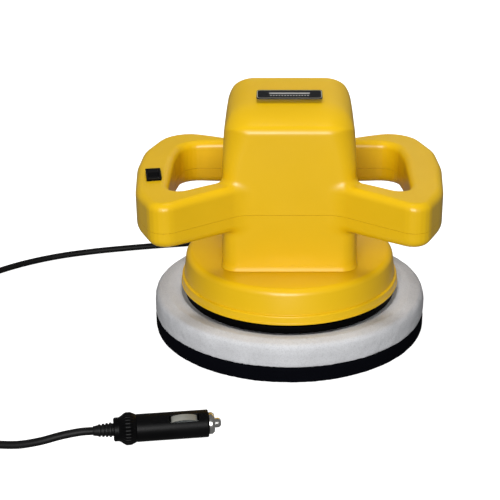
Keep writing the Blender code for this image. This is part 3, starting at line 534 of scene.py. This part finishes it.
def coil_route():
    """Two flat spiral layers: in on the lower one, a short climb at the middle, out on the upper."""
    first, turns, climb = 165.0, 3.92, 0.25
    t = np.linspace(0, 2 * turns + climb + 0.007, 150)
    low = np.clip(t / turns, 0, 1)
    up = np.clip((t - turns) / climb, 0, 1)
    out = np.clip((t - turns - climb) / (turns + 0.007), 0, 1)
    radius = COIL_OUTER - COIL_DRAW * low + COIL_DRAW * out - 0.5 * np.sin(math.pi * up)
    z = 4.3 + 6.15 * smooth_step(0, 1, up)
    angle = np.radians(first) + 2 * math.pi * t
    x = COIL_CENTRE[0] + radius * np.cos(angle)
    return np.stack([x, COIL_CENTRE[1] + radius * np.sin(angle), z], axis=1)


def cord_curve():
    """One curve for the whole cord, its handles set by its neighbours so that it bends smoothly."""
    path = np.concatenate([REAR_ROUTE, coil_route(), FRONT_ROUTE]) * MM
    data = bpy.data.curves.new("cord_line", "CURVE")
    data.dimensions = "3D"
    data.bevel_depth = CORD_RADIUS * MM
    data.bevel_resolution = 8
    data.resolution_u = 10
    data.use_fill_caps = True
    spline = data.splines.new("BEZIER")
    spline.bezier_points.add(len(path) - 1)
    step = np.gradient(path, axis=0)
    reach = np.linalg.norm(np.diff(path, axis=0), axis=1)
    before = np.concatenate([reach[:1], reach])[:, None] / 3
    after = np.concatenate([reach, reach[-1:]])[:, None] / 3
    step /= np.linalg.norm(step, axis=1, keepdims=True)
    spline.bezier_points.foreach_set("co", path.ravel())
    spline.bezier_points.foreach_set("handle_left", (path - step * before).ravel())
    spline.bezier_points.foreach_set("handle_right", (path + step * after).ravel())
    obj = bpy.data.objects.new("cord_line", data)
    bpy.context.scene.collection.objects.link(obj)
    return obj


def cord_tie():
    """A strap round the coil's two layers: a closed band with round corners."""
    outer = arc_corner(four_corners(16.6, 7.2, 3), 8)
    inner = arc_corner(four_corners(15.7, 6.4, 2.4), 8)
    rings = [(outer, -2.6), (outer, -3.0), (inner, -3.0), (inner, 3.0), (outer, 3.0), (outer, 2.6)]
    points = np.array([[(u, y, v) for u, v in ring] for ring, y in rings])
    faces = grid_faces(len(rings), len(outer), True, True)
    obj = make_mesh("cord_tie_band", points.reshape(-1, 3), faces)
    close_poles(obj)
    return moved(obj, place_matrix(COIL_CENTRE[0] + 37, COIL_CENTRE[1], 7.3))


def lathe_along(name, profile, matrix, segments=64, steps=5):
    """A turned piece whose axis is laid along a matrix's Z."""
    return moved(turned(name, profile, (0, 0), segments, steps), matrix)


def relief_matrix():
    """Local Z runs straight back from the middle of the housing, at the seam."""
    return Matrix.Translation((0, 0, SEAM * MM)) @ Matrix.Rotation(-math.pi / 2, 4, "X")


def strain_relief():
    """A tapered sleeve with grooves round it, from the rear wall to the cord."""
    profile = [(0, 65.2), (8, 65.2), (8, 68.9), (5.4, 68.9), (5.4, 72.3), (7.6, 72.3), (7.6, 75.2, 1.0)]
    for i in range(8):
        start = 76.2 + i * 3.7
        r = 6.3 - i * 0.26
        profile += [(r - 1.3, start, 0.3), (r - 1.3, start + 1.2, 0.3), (r, start + 1.2, 0.4),
                    (r - 0.2, start + 3.7, 0.4)]
    profile += [(4.1, 105.8), (3.9, 108, 0.5), (0, 108)]
    return lathe_along("strain_relief_sleeve", profile, relief_matrix(), 48, 3)


def plug_matrix():
    """Local Z runs from the plug's rear end to its tip."""
    place = Matrix.Translation([v * MM for v in PLUG_REAR]) @ Matrix.Rotation(PLUG_TURN, 4, "Z")
    return place @ Matrix.Rotation(math.pi / 2 + PLUG_TILT, 4, "Y")


def plug_relief():
    """A turned sleeve over the cord's end whose four collars grow towards the plug."""
    profile = [(0, -1.6), (3.5, -1.6, 0.4), (4.2, 2.4)]
    for i in range(4):
        start = 2.4 + i * 2.7
        r = 4.7 + i * 0.25
        profile += [(r, start, 0.3), (r, start + 1.7, 0.3), (r - 0.7, start + 1.7, 0.3),
                    (r - 0.7, start + 2.7, 0.3)]
    profile += [(4.8, 13.6), (0, 13.6)]
    return lathe_along("plug_relief_sleeve", profile, plug_matrix(), 64, 3)


def plug_grip():
    """A collar that swells into a grip with ridges along it: a smooth profile whose radius falls between
    the ridges as a wave round the axis, the wave fading out before the collar and the barrel."""
    start, end = GRIP_ENDS
    s = np.concatenate([[start], np.linspace(start, end, 60), [end]])
    t = (s - start) / (end - start)
    swell = smooth_step(0.2, 0.58, t) * (1 - 0.5 * smooth_step(0.72, 1.0, t))
    r = 8.9 + 3.4 * swell - 0.9 * (1 - smooth_step(0, 0.06, t)) - 0.5 * smooth_step(0.96, 1.0, t)
    r[[0, -1]] = 0
    depth = 0.75 * smooth_step(0.3, 0.5, t) * (1 - smooth_step(0.8, 0.95, t))
    angle = np.linspace(0, 2 * math.pi, 432, endpoint=False)
    wave = 1 - np.abs(np.sin(angle * GRIP_RIDGES / 2)) ** 0.6
    radius = r[:, None] - depth[:, None] * wave[None, :]
    points = np.stack([radius * np.cos(angle), radius * np.sin(angle),
                       np.broadcast_to(s[:, None], radius.shape)], axis=2)
    faces = grid_faces(len(s), len(angle), False, True)
    obj = make_mesh("plug_grip_body", points.reshape(-1, 3), faces, 50)
    close_poles(obj, 50)
    return moved(obj, plug_matrix())


def barrel_field(x, y, z):
    """A tube closed at its rear with two windows for the side contacts and a small dimple."""
    r = np.hypot(x, y)
    outer = round_meet(r - BARREL_RADIUS, z - BARREL_ENDS[1], 0.8)
    outer = round_meet(outer, BARREL_ENDS[0] - z, 0.6)
    bore = np.maximum(r - BARREL_BORE, 34 - z)
    cos, sin = math.cos(LEAF_TURN), math.sin(LEAF_TURN)
    u = x * cos + y * sin
    v = y * cos - x * sin
    window = rounded_box(np.abs(u) - 11, v, z - 66, (5, 3.1, 11), 1.0)
    flat = rounded_box(np.abs(u) - 12.6, v, z - 62, (2.6, 5.2, 20), 1.0)
    dimple = np.sqrt((u - 2.4) ** 2 + (v + 10.6) ** 2 + (z - 38.5) ** 2) - 2.0
    return np.maximum(np.maximum(outer, -bore), -np.minimum(np.minimum(window, dimple), flat))


def plug_leaf(name, angle):
    """A bowed spring strip: half a flattened sine wave in side view, given a thickness, and drawn in a
    little at its two side edges; strips of quads close the sides."""
    s = np.linspace(*LEAF_ENDS, 40)
    bow = 8.75 + 2.75 * np.sin(np.linspace(0, 3.14159, 40)) ** 0.75
    outline = np.concatenate([np.stack([bow, s], axis=1), np.stack([bow - 0.5, s], axis=1)[::-1]])
    middle = np.array([9.5, 66.0])
    drawn_in = outline + (middle - outline) * 0.004
    rows = ((drawn_in, -2.55), (outline, -2.4), (outline, 2.4), (drawn_in, 2.55))
    points = [np.stack([ring[:, 0], np.full(len(ring), v), ring[:, 1]], axis=1) for ring, v in rows]
    count = len(outline)
    faces = grid_faces(len(rows), count, False, True).tolist()
    for row, flip in ((0, False), (3, True)):
        base = row * count
        for i in range(count // 2 - 1):
            quad = [base + i, base + i + 1, base + count - 2 - i, base + count - 1 - i]
            faces.append(quad[::-1] if flip else quad)
    obj = make_mesh(name, np.concatenate(points), faces)
    close_poles(obj)
    return moved(obj, plug_matrix() @ Matrix.Rotation(angle, 4, "Z"))


def plug_ring():
    """A turned nut with a bevelled front edge."""
    profile = [(4.2, 84.6), (8.2, 84.6, 0.3), (8.2, 87.2, 0.8), (6.8, 88.9, 0.5), (4.2, 88.9, 0.3)]
    return lathe_along("plug_ring_skin", profile, plug_matrix(), 96, 4)


def plug_tip():
    """A turned pin with a flange inside the barrel and a round nose."""
    profile = [(0, 77.9), (6.2, 77.9, 0.3), (6.2, 80, 0.3), (3.7, 80), (3.7, 92.4, 1.6),
               (2.2, 93.9, 1.2), (0, 94)]
    return lathe_along("plug_tip_pin", profile, plug_matrix(), 64, 5)


# ---- materials ----------------------------------------------------------------------------
class Wire:
    """A number socket; arithmetic on it adds Math nodes to its tree."""

    def __init__(self, graph, socket):
        self.graph = graph
        self.socket = socket

    def math(self, operation, *others):
        return self.graph.node("Math", {"operation": operation}, order=(self, *others))

    def __add__(self, other):
        return self.math("ADD", other)

    def __mul__(self, other):
        return self.math("MULTIPLY", other)

    def __sub__(self, other):
        return self.math("SUBTRACT", other)

    def __rsub__(self, other):
        return (self * -1.0) + other

    __radd__ = __add__
    __rmul__ = __mul__

    def step(self, low, high):
        """0 below low, 1 above high, smooth between."""
        return self.graph.node("MapRange", {"interpolation_type": "SMOOTHSTEP"}, order=(self, low, high))


class Graph:
    """A material's tree with its Principled shader."""

    def __init__(self, name, colour, roughness, metallic=0.0, **constants):
        self.material = bpy.data.materials.new(name)
        self.material.use_nodes = True
        self.tree = self.material.node_tree
        self.shader = self.tree.nodes["Principled BSDF"]
        self.set("Base Color", (*colour, 1.0))
        self.set("Roughness", roughness)
        self.set("Metallic", metallic)
        for key, value in constants.items():
            self.set(key.replace("_", " "), value)

    def feed(self, socket, value):
        if isinstance(value, Wire):
            self.tree.links.new(value.socket, socket)
        elif isinstance(value, bpy.types.NodeSocket):
            self.tree.links.new(value, socket)
        else:
            socket.default_value = value

    def set(self, name, value):
        self.feed(self.shader.inputs[name], value)

    def node(self, kind, settings=None, out=0, order=(), **inputs):
        """Any node: its type, settings and socket values, by order or by name; returns one output,
        numbers as a Wire."""
        node = self.tree.nodes.new("ShaderNode" + kind)
        for key, value in (settings or {}).items():
            setattr(node, key, value)
        for index, value in enumerate(order):
            self.feed(node.inputs[index], value)
        for key, value in inputs.items():
            self.feed(node.inputs[key.replace("_", " ")], value)
        socket = node.outputs[out]
        return Wire(self, socket) if socket.type == "VALUE" else socket

    def place(self):
        """Position in the object's own metres."""
        return self.node("TexCoord", out="Object")

    def noise(self, scale, detail=3.0, stretch=None):
        """Noise in space at a scale in waves per metre, optionally drawn out along an axis."""
        where = self.place()
        if stretch:
            where = self.node("VectorMath", {"operation": "MULTIPLY"}, order=(where, stretch))
        return self.node("TexNoise", Vector=where, Scale=scale, Detail=detail)

    def blend(self, factor, a, b):
        """A colour between a, where the factor is 0, and b, where it is 1."""
        node = self.tree.nodes.new("ShaderNodeMix")
        node.data_type = "RGBA"
        self.feed(node.inputs[0], factor)
        self.feed(node.inputs[6], a if isinstance(a, bpy.types.NodeSocket) else (*a, 1.0))
        self.feed(node.inputs[7], b if isinstance(b, bpy.types.NodeSocket) else (*b, 1.0))
        return node.outputs[2]

    def bump(self, height, strength, distance):
        """Raises the skin by a height pattern and returns the finished material."""
        self.set("Normal", self.node("Bump", Height=height, Strength=strength, Distance=distance))
        return self.material


def shell_finish():
    """Glossy yellow moulded plastic: its colour drifts slightly, the sheen varies, and the skin is
    faintly uneven."""
    g = Graph("shell_gloss", (0.77, 0.47, 0.004), 0.3, IOR=1.5)
    drift = g.noise(14.0, 2.0)
    fine = g.noise(900.0, 3.0)
    colour = g.blend(drift.step(0.35, 0.65), (0.76, 0.46, 0.003), (0.785, 0.48, 0.005))
    g.set("Base Color", colour)
    g.set("Roughness", 0.26 + g.noise(35.0, 4.0) * 0.10 + fine * 0.04)
    return g.bump(fine * 0.5 + g.noise(60.0, 2.0), 0.08, 0.0006)


def black_finish(name="black_satin", base=0.003, rough=0.32, grain=1400.0, shine=0.3):
    """Black plastic with a fine grain and faintly lighter clouds."""
    g = Graph(name, (base, base, base * 1.1), rough, Specular_IOR_Level=shine)
    fine = g.noise(grain, 3.0)
    cloud = g.noise(30.0, 3.0)
    lift = (base * 1.5, base * 1.5, base * 1.65)
    g.set("Base Color", g.blend(cloud.step(0.3, 0.7), (base, base, base * 1.1), lift))
    g.set("Roughness", rough - 0.05 + cloud * 0.14 + fine * 0.04)
    return g.bump(fine, 0.15, 0.0003)


def foam_finish(name, light, dark, scale=900.0):
    """Open foam: round pores of two sizes sink into the skin, and painted shade darkens them inside."""
    g = Graph(name, light, 0.95, Specular_IOR_Level=0.03)
    warp = g.noise(240.0, 2.0)
    shift = g.node("CombineXYZ", X=warp, Y=warp, Z=warp)
    where = g.node("VectorMath", {"operation": "MULTIPLY_ADD"},
                   order=(shift, (0.0012, 0.0012, 0.0012), g.place()))
    pores = g.node("TexVoronoi", {"feature": "F1"}, Vector=where, Scale=scale)
    large = g.node("TexVoronoi", {"feature": "F1"}, Vector=where, Scale=scale * 0.36)
    small_depth = pores.step(0.16, 0.5)
    large_depth = large.step(0.08, 0.34)
    solid = small_depth * (0.6 + large_depth * 0.4)
    cloud = g.noise(45.0, 3.0).step(0.3, 0.7)
    tone = g.blend(cloud, light, tuple(v * 0.93 for v in light))
    # painted shade: the pores are blended towards the dark colour, as shade inside their hollows
    g.set("Base Color", g.blend(0.45 + solid * 0.55, dark, tone))
    g.set("Roughness", 0.9 + cloud * 0.08)
    return g.bump(solid + g.noise(2600.0, 2.0) * 0.35, 0.4, 0.0005)


def rubber_finish(name="cord_sheath", base=0.004, rough=0.42):
    """Soft black sheath with a very fine grain."""
    g = Graph(name, (base, base, base), rough, Specular_IOR_Level=0.16)
    fine = g.noise(2600.0, 3.0)
    cloud = g.noise(60.0, 3.0)
    lift = (base * 1.8, base * 1.8, base * 1.85)
    g.set("Base Color", g.blend(cloud.step(0.35, 0.7), (base, base, base * 1.05), lift))
    g.set("Roughness", rough + cloud * 0.16 - 0.06)
    return g.bump(fine, 0.22, 0.0003)


def red_lead_finish():
    """Soft red sheath, darker in patches."""
    g = Graph("lead_red", (0.42, 0.015, 0.015), 0.45)
    cloud = g.noise(60.0, 3.0)
    g.set("Base Color", g.blend(cloud.step(0.35, 0.7), (0.42, 0.015, 0.015), (0.33, 0.012, 0.012)))
    g.set("Roughness", 0.38 + cloud * 0.14)
    return g.bump(g.noise(2600.0, 3.0), 0.2, 0.0003)


def metal_finish(name, colour, rough, scale=1600.0, stretch=(1.0, 1.0, 0.04)):
    """Plated or machined metal: fine lines along one axis and faint dulling in patches."""
    g = Graph(name, colour, rough, 1.0)
    lines = g.noise(scale, 3.0, stretch=stretch)
    cloud = g.noise(90.0, 4.0)
    duller = tuple(v * 0.86 for v in colour)
    g.set("Base Color", g.blend(cloud.step(0.4, 0.8), colour, duller))
    g.set("Roughness", rough - 0.04 + cloud * 0.12 + lines * 0.05)
    return g.bump(lines, 0.1, 0.0002)


def plain_finish(name, colour, rough, scale=700.0, depth=0.15):
    """A mineral or plastic part inside the machine: faint mottling and a fine grain."""
    g = Graph(name, colour, rough)
    cloud = g.noise(80.0, 4.0)
    fine = g.noise(scale, 4.0)
    g.set("Base Color", g.blend(cloud.step(0.3, 0.75), colour, tuple(v * 0.8 for v in colour)))
    g.set("Roughness", rough - 0.05 + fine * 0.1)
    return g.bump(fine, depth, 0.0004)


def winding_finish():
    """Enamelled wire: even bands round the axis, with painted shade darker between the turns."""
    g = Graph("enamelled_wire", (0.45, 0.14, 0.04), 0.3, 0.8)
    height = g.node("TexWave", {"bands_direction": "DIAGONAL"}, out="Fac", Vector=g.place(),
                    Scale=700.0, Distortion=0.6, Detail=1.0)
    # painted shade: the bands' low parts between the turns are darker
    g.set("Base Color", g.blend(height, (0.16, 0.04, 0.012), (0.55, 0.2, 0.06)))
    g.set("Roughness", 0.25 + height * 0.2)
    return g.bump(height, 0.5, 0.0004)


def fabric_finish():
    """Loop fabric: a fine tangle of fibres in two directions."""
    g = Graph("hook_loop", (0.05, 0.05, 0.052), 0.95)
    one = g.noise(1500.0, 4.0, stretch=(1.0, 0.2, 1.0))
    two = g.noise(1500.0, 4.0, stretch=(0.2, 1.0, 1.0))
    tangle = one.math("MAXIMUM", two)
    g.set("Base Color", g.blend(tangle.step(0.45, 0.75), (0.02, 0.02, 0.021), (0.11, 0.11, 0.112)))
    g.set("Roughness", 0.85 + tangle * 0.1)
    return g.bump(tangle, 0.7, 0.0006)


def label_finish():
    """Dark plate with a light line inside its edge, a plain bar and a row of short strokes."""
    g = Graph("label_face", (0.006, 0.006, 0.007), 0.28, Specular_IOR_Level=0.3)
    uv = g.node("UVMap", {"uv_map": "plate"})
    x = g.node("SeparateXYZ", out="X", Vector=uv)
    y = g.node("SeparateXYZ", out="Y", Vector=uv)
    qx = (x.math("ABSOLUTE") - 23.9).math("MAXIMUM", 0.0)
    qy = (y.math("ABSOLUTE") - 4.9).math("MAXIMUM", 0.0)
    edge = (qx * qx + qy * qy).math("SQRT")
    line = (edge - 2.9).math("ABSOLUTE")
    border = 1.0 - line.step(0.12, 0.24)
    stroke = (x * 0.42).math("FRACT") - 0.5
    inside = 1.0 - (x.math("ABSOLUTE") - 17.0).step(-0.1, 0.1)
    row = 1.0 - (y + 2.8).math("ABSOLUTE").step(0.8, 1.0)
    strokes = (1.0 - stroke.math("ABSOLUTE").step(0.22, 0.3)) * row
    bar = 1.0 - (y - 1.7).math("ABSOLUTE").step(1.2, 1.4)
    mark = ((strokes + bar) * inside).math("MINIMUM", 1.0)
    fine = g.noise(1200.0, 3.0)
    face = g.blend(g.noise(50.0).step(0.3, 0.7), (0.005, 0.005, 0.006), (0.009, 0.009, 0.01))
    marked = g.blend(mark * 0.75, face, (0.5, 0.49, 0.46))
    g.set("Base Color", g.blend(border, marked, (0.62, 0.6, 0.5)))
    g.set("Roughness", 0.25 + fine * 0.08 + mark * 0.1)
    return g.bump(fine * 0.2 + border + mark, 0.25, 0.0002)


def floor_finish():
    """Matt white paper that glows a little, so that it shows as even white."""
    g = Graph("studio_paper", (0.5, 0.5, 0.5), 0.95, Specular_IOR_Level=0.0)
    g.set("Emission Color", (1.0, 1.0, 1.0, 1.0))
    g.set("Emission Strength", 0.92)
    return g.material


def finish_cad(nodes, finishes):
    """Gives the CAD solids that stay in view the finish named after their own slot."""
    for obj in nodes.values():
        for index, material in enumerate(obj.data.materials):
            slot = material.name.split(".")[0] if material else ""
            if slot in finishes:
                obj.data.materials[index] = finishes[slot]


def put_on(obj, material, body, slot, *nodes):
    """Finish, body, repaint slot (which is not used) and the CAD nodes that the piece stands for."""
    obj.data.materials.clear()
    obj.data.materials.append(material)
    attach(obj, body)
    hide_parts(*nodes)
    return obj


# ---- studio -------------------------------------------------------------------------------
def studio():
    """A pale floor that fills the view, an even white sky and four soft lamps."""
    reach = 6e4
    points = [(-reach, -reach, 0), (reach, -reach, 0), (reach, reach, 0), (-reach, reach, 0)]
    floor = make_mesh("studio_floor", points, [(0, 1, 2, 3)])
    floor.data.materials.append(floor_finish())
    floor.visible_glossy = False
    floor.visible_diffuse = False
    world = bpy.data.worlds.new("studio_sky")
    world.use_nodes = True
    sky = world.node_tree.nodes["Background"]
    sky.inputs["Color"].default_value = (1.0, 1.0, 1.0, 1.0)
    sky.inputs["Strength"].default_value = 0.15
    bpy.context.scene.world = world
    lamps = (("key", (-0.1, -1.8, 0.66), 0.8, 28.5), ("fill", (-0.5, -1.6, 1.2), 0.6, 4.5),
             ("top", (0.0, 0.2, 1.7), 0.6, 13.5), ("back", (0.2, 1.7, 0.6), 0.8, 11.0))
    for name, place, size, power in lamps:
        data = bpy.data.lights.new(name, "AREA")
        data.size = size
        data.energy = power
        lamp = bpy.data.objects.new(name, data)
        lamp.location = place
        lamp.visible_glossy = name in ("key", "fill")
        aim = Vector((0, 0, 0.1)) - Vector(place)
        lamp.rotation_euler = aim.to_track_quat("-Z", "Y").to_euler()
        bpy.context.scene.collection.objects.link(lamp)


# ---- making -------------------------------------------------------------------------------
def make():
    """Camera and cord first, then the finishes, the outside pieces and the studio."""
    place_camera()
    line = cord_curve()
    shell = shell_finish()
    black = black_finish()
    # each foam's second colour is the painted shade inside its pores
    white = foam_finish("white_foam_skin", (0.61, 0.615, 0.635), (0.44, 0.445, 0.46))
    dark = foam_finish("black_foam_skin", (0.0022, 0.0024, 0.0042), (0.0008, 0.0008, 0.0012))
    rubber = rubber_finish()
    nickel = metal_finish("nickel_bright", (0.78, 0.77, 0.74), 0.16)
    spring = metal_finish("nickel_dull", (0.80, 0.80, 0.72), 0.46)
    label = label_finish()
    finishes = {
        "shell_plastic": shell, "black_plastic": black, "cord_rubber": rubber, "nickel_plate": nickel,
        "label_plate": label, "white_foam": white, "black_foam": dark,
        "hook_fabric": fabric_finish(),
        "bright_steel": metal_finish("steel_ground", (0.55, 0.55, 0.57), 0.25),
        "zinc_plate": metal_finish("zinc_dull", (0.6, 0.6, 0.57), 0.36, 900.0, (1.0, 1.0, 1.0)),
        "copper_wire": winding_finish(),
        "ferrite": plain_finish("ferrite_dark", (0.045, 0.045, 0.05), 0.55),
        "carbon": plain_finish("carbon_block", (0.02, 0.02, 0.022), 0.5, 1500.0),
        "cast_alloy": metal_finish("alloy_cast", (0.5, 0.5, 0.49), 0.48, 500.0, (1.0, 1.0, 1.0)),
        "red_wire": red_lead_finish(), "black_wire": rubber_finish("lead_black", 0.012, 0.42),
        "fan_plastic": plain_finish("fan_grey", (0.16, 0.16, 0.165), 0.45),
        "fuse_glass": plain_finish("fuse_body", (0.6, 0.65, 0.65), 0.12, 300.0, 0.03),
    }
    finish_cad(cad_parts, finishes)

    upper = housing_shell("upper_housing_skin", UPPER_LEVELS, [(SEAM + SEAM_HALF_GAP, True)])
    lower = housing_shell("lower_housing_skin", LOWER_LEVELS,
                          [(FOOT, True), (SEAM - SEAM_HALF_GAP, False)])
    put_on(upper, shell, "housing", "shell_plastic", "upper_housing")
    put_on(lower, shell, "housing", "shell_plastic", "lower_housing")
    put_on(base_cover(), shell, "housing", "shell_plastic", "base_cover")
    put_on(name_plate(), label, "housing", "label_plate", "name_plate")
    matt = black_finish("plate_matt", 0.0008, 0.5, 900.0, 0.03)
    put_on(backing_plate(), matt, "pad", "black_plastic", "backing_plate")
    put_on(white_foam(), white, "pad", "white_foam", "white_foam_pad")
    put_on(black_foam(), dark, "pad", "black_foam", "black_foam_pad")

    satin = black_finish("plug_satin", 0.0018, 0.34, 900.0, 0.09)
    switch_place = place_matrix(*SWITCH_PLACE, 0, SWITCH_TURN)
    bezel = carved("switch_frame", switch_field, (-7.5, -13.3, 116.5), (7.5, 13.3, 147.6), 0.32,
                   switch_place)
    key = carved("switch_key", rocker_field, (-5.2, -9.6, 140.8), (5.2, 9.6, 150.2), 0.3, switch_place)
    put_on(bezel, satin, "housing", "black_plastic", "switch_body")
    put_on(key, satin, "rocker", "black_plastic", "switch_rocker")

    put_on(strain_relief(), rubber, "housing", "cord_rubber", "strain_relief")
    put_on(line, rubber, "housing", "cord_rubber", "cord_rear_run", "cord_coil", "cord_front_run")
    tie = put_on(cord_tie(), black, "housing", "black_plastic", "cord_tie")
    relief = put_on(plug_relief(), rubber, "housing", "cord_rubber", "plug_strain_relief")
    grip = put_on(plug_grip(), satin, "housing", "cord_rubber", "plug_grip")
    barrel = carved("plug_barrel_skin", barrel_field, (-11.4, -11.4, 29.8), (11.4, 11.4, 85.4), 0.4,
                    plug_matrix())
    put_on(barrel, satin, "housing", "black_plastic", "plug_barrel")
    ring = put_on(plug_ring(), nickel, "housing", "nickel_plate", "plug_ring_nut")
    tip = put_on(plug_tip(), nickel, "tip", "nickel_plate", "plug_tip")
    leaves = [plug_leaf("plug_leaf_1", LEAF_TURN), plug_leaf("plug_leaf_2", LEAF_TURN + math.pi)]
    put_on(leaves[0], spring, "contact_upper", "nickel_plate", "plug_contact_1")
    put_on(leaves[1], spring, "contact_lower", "nickel_plate", "plug_contact_2")
    studio()


make()
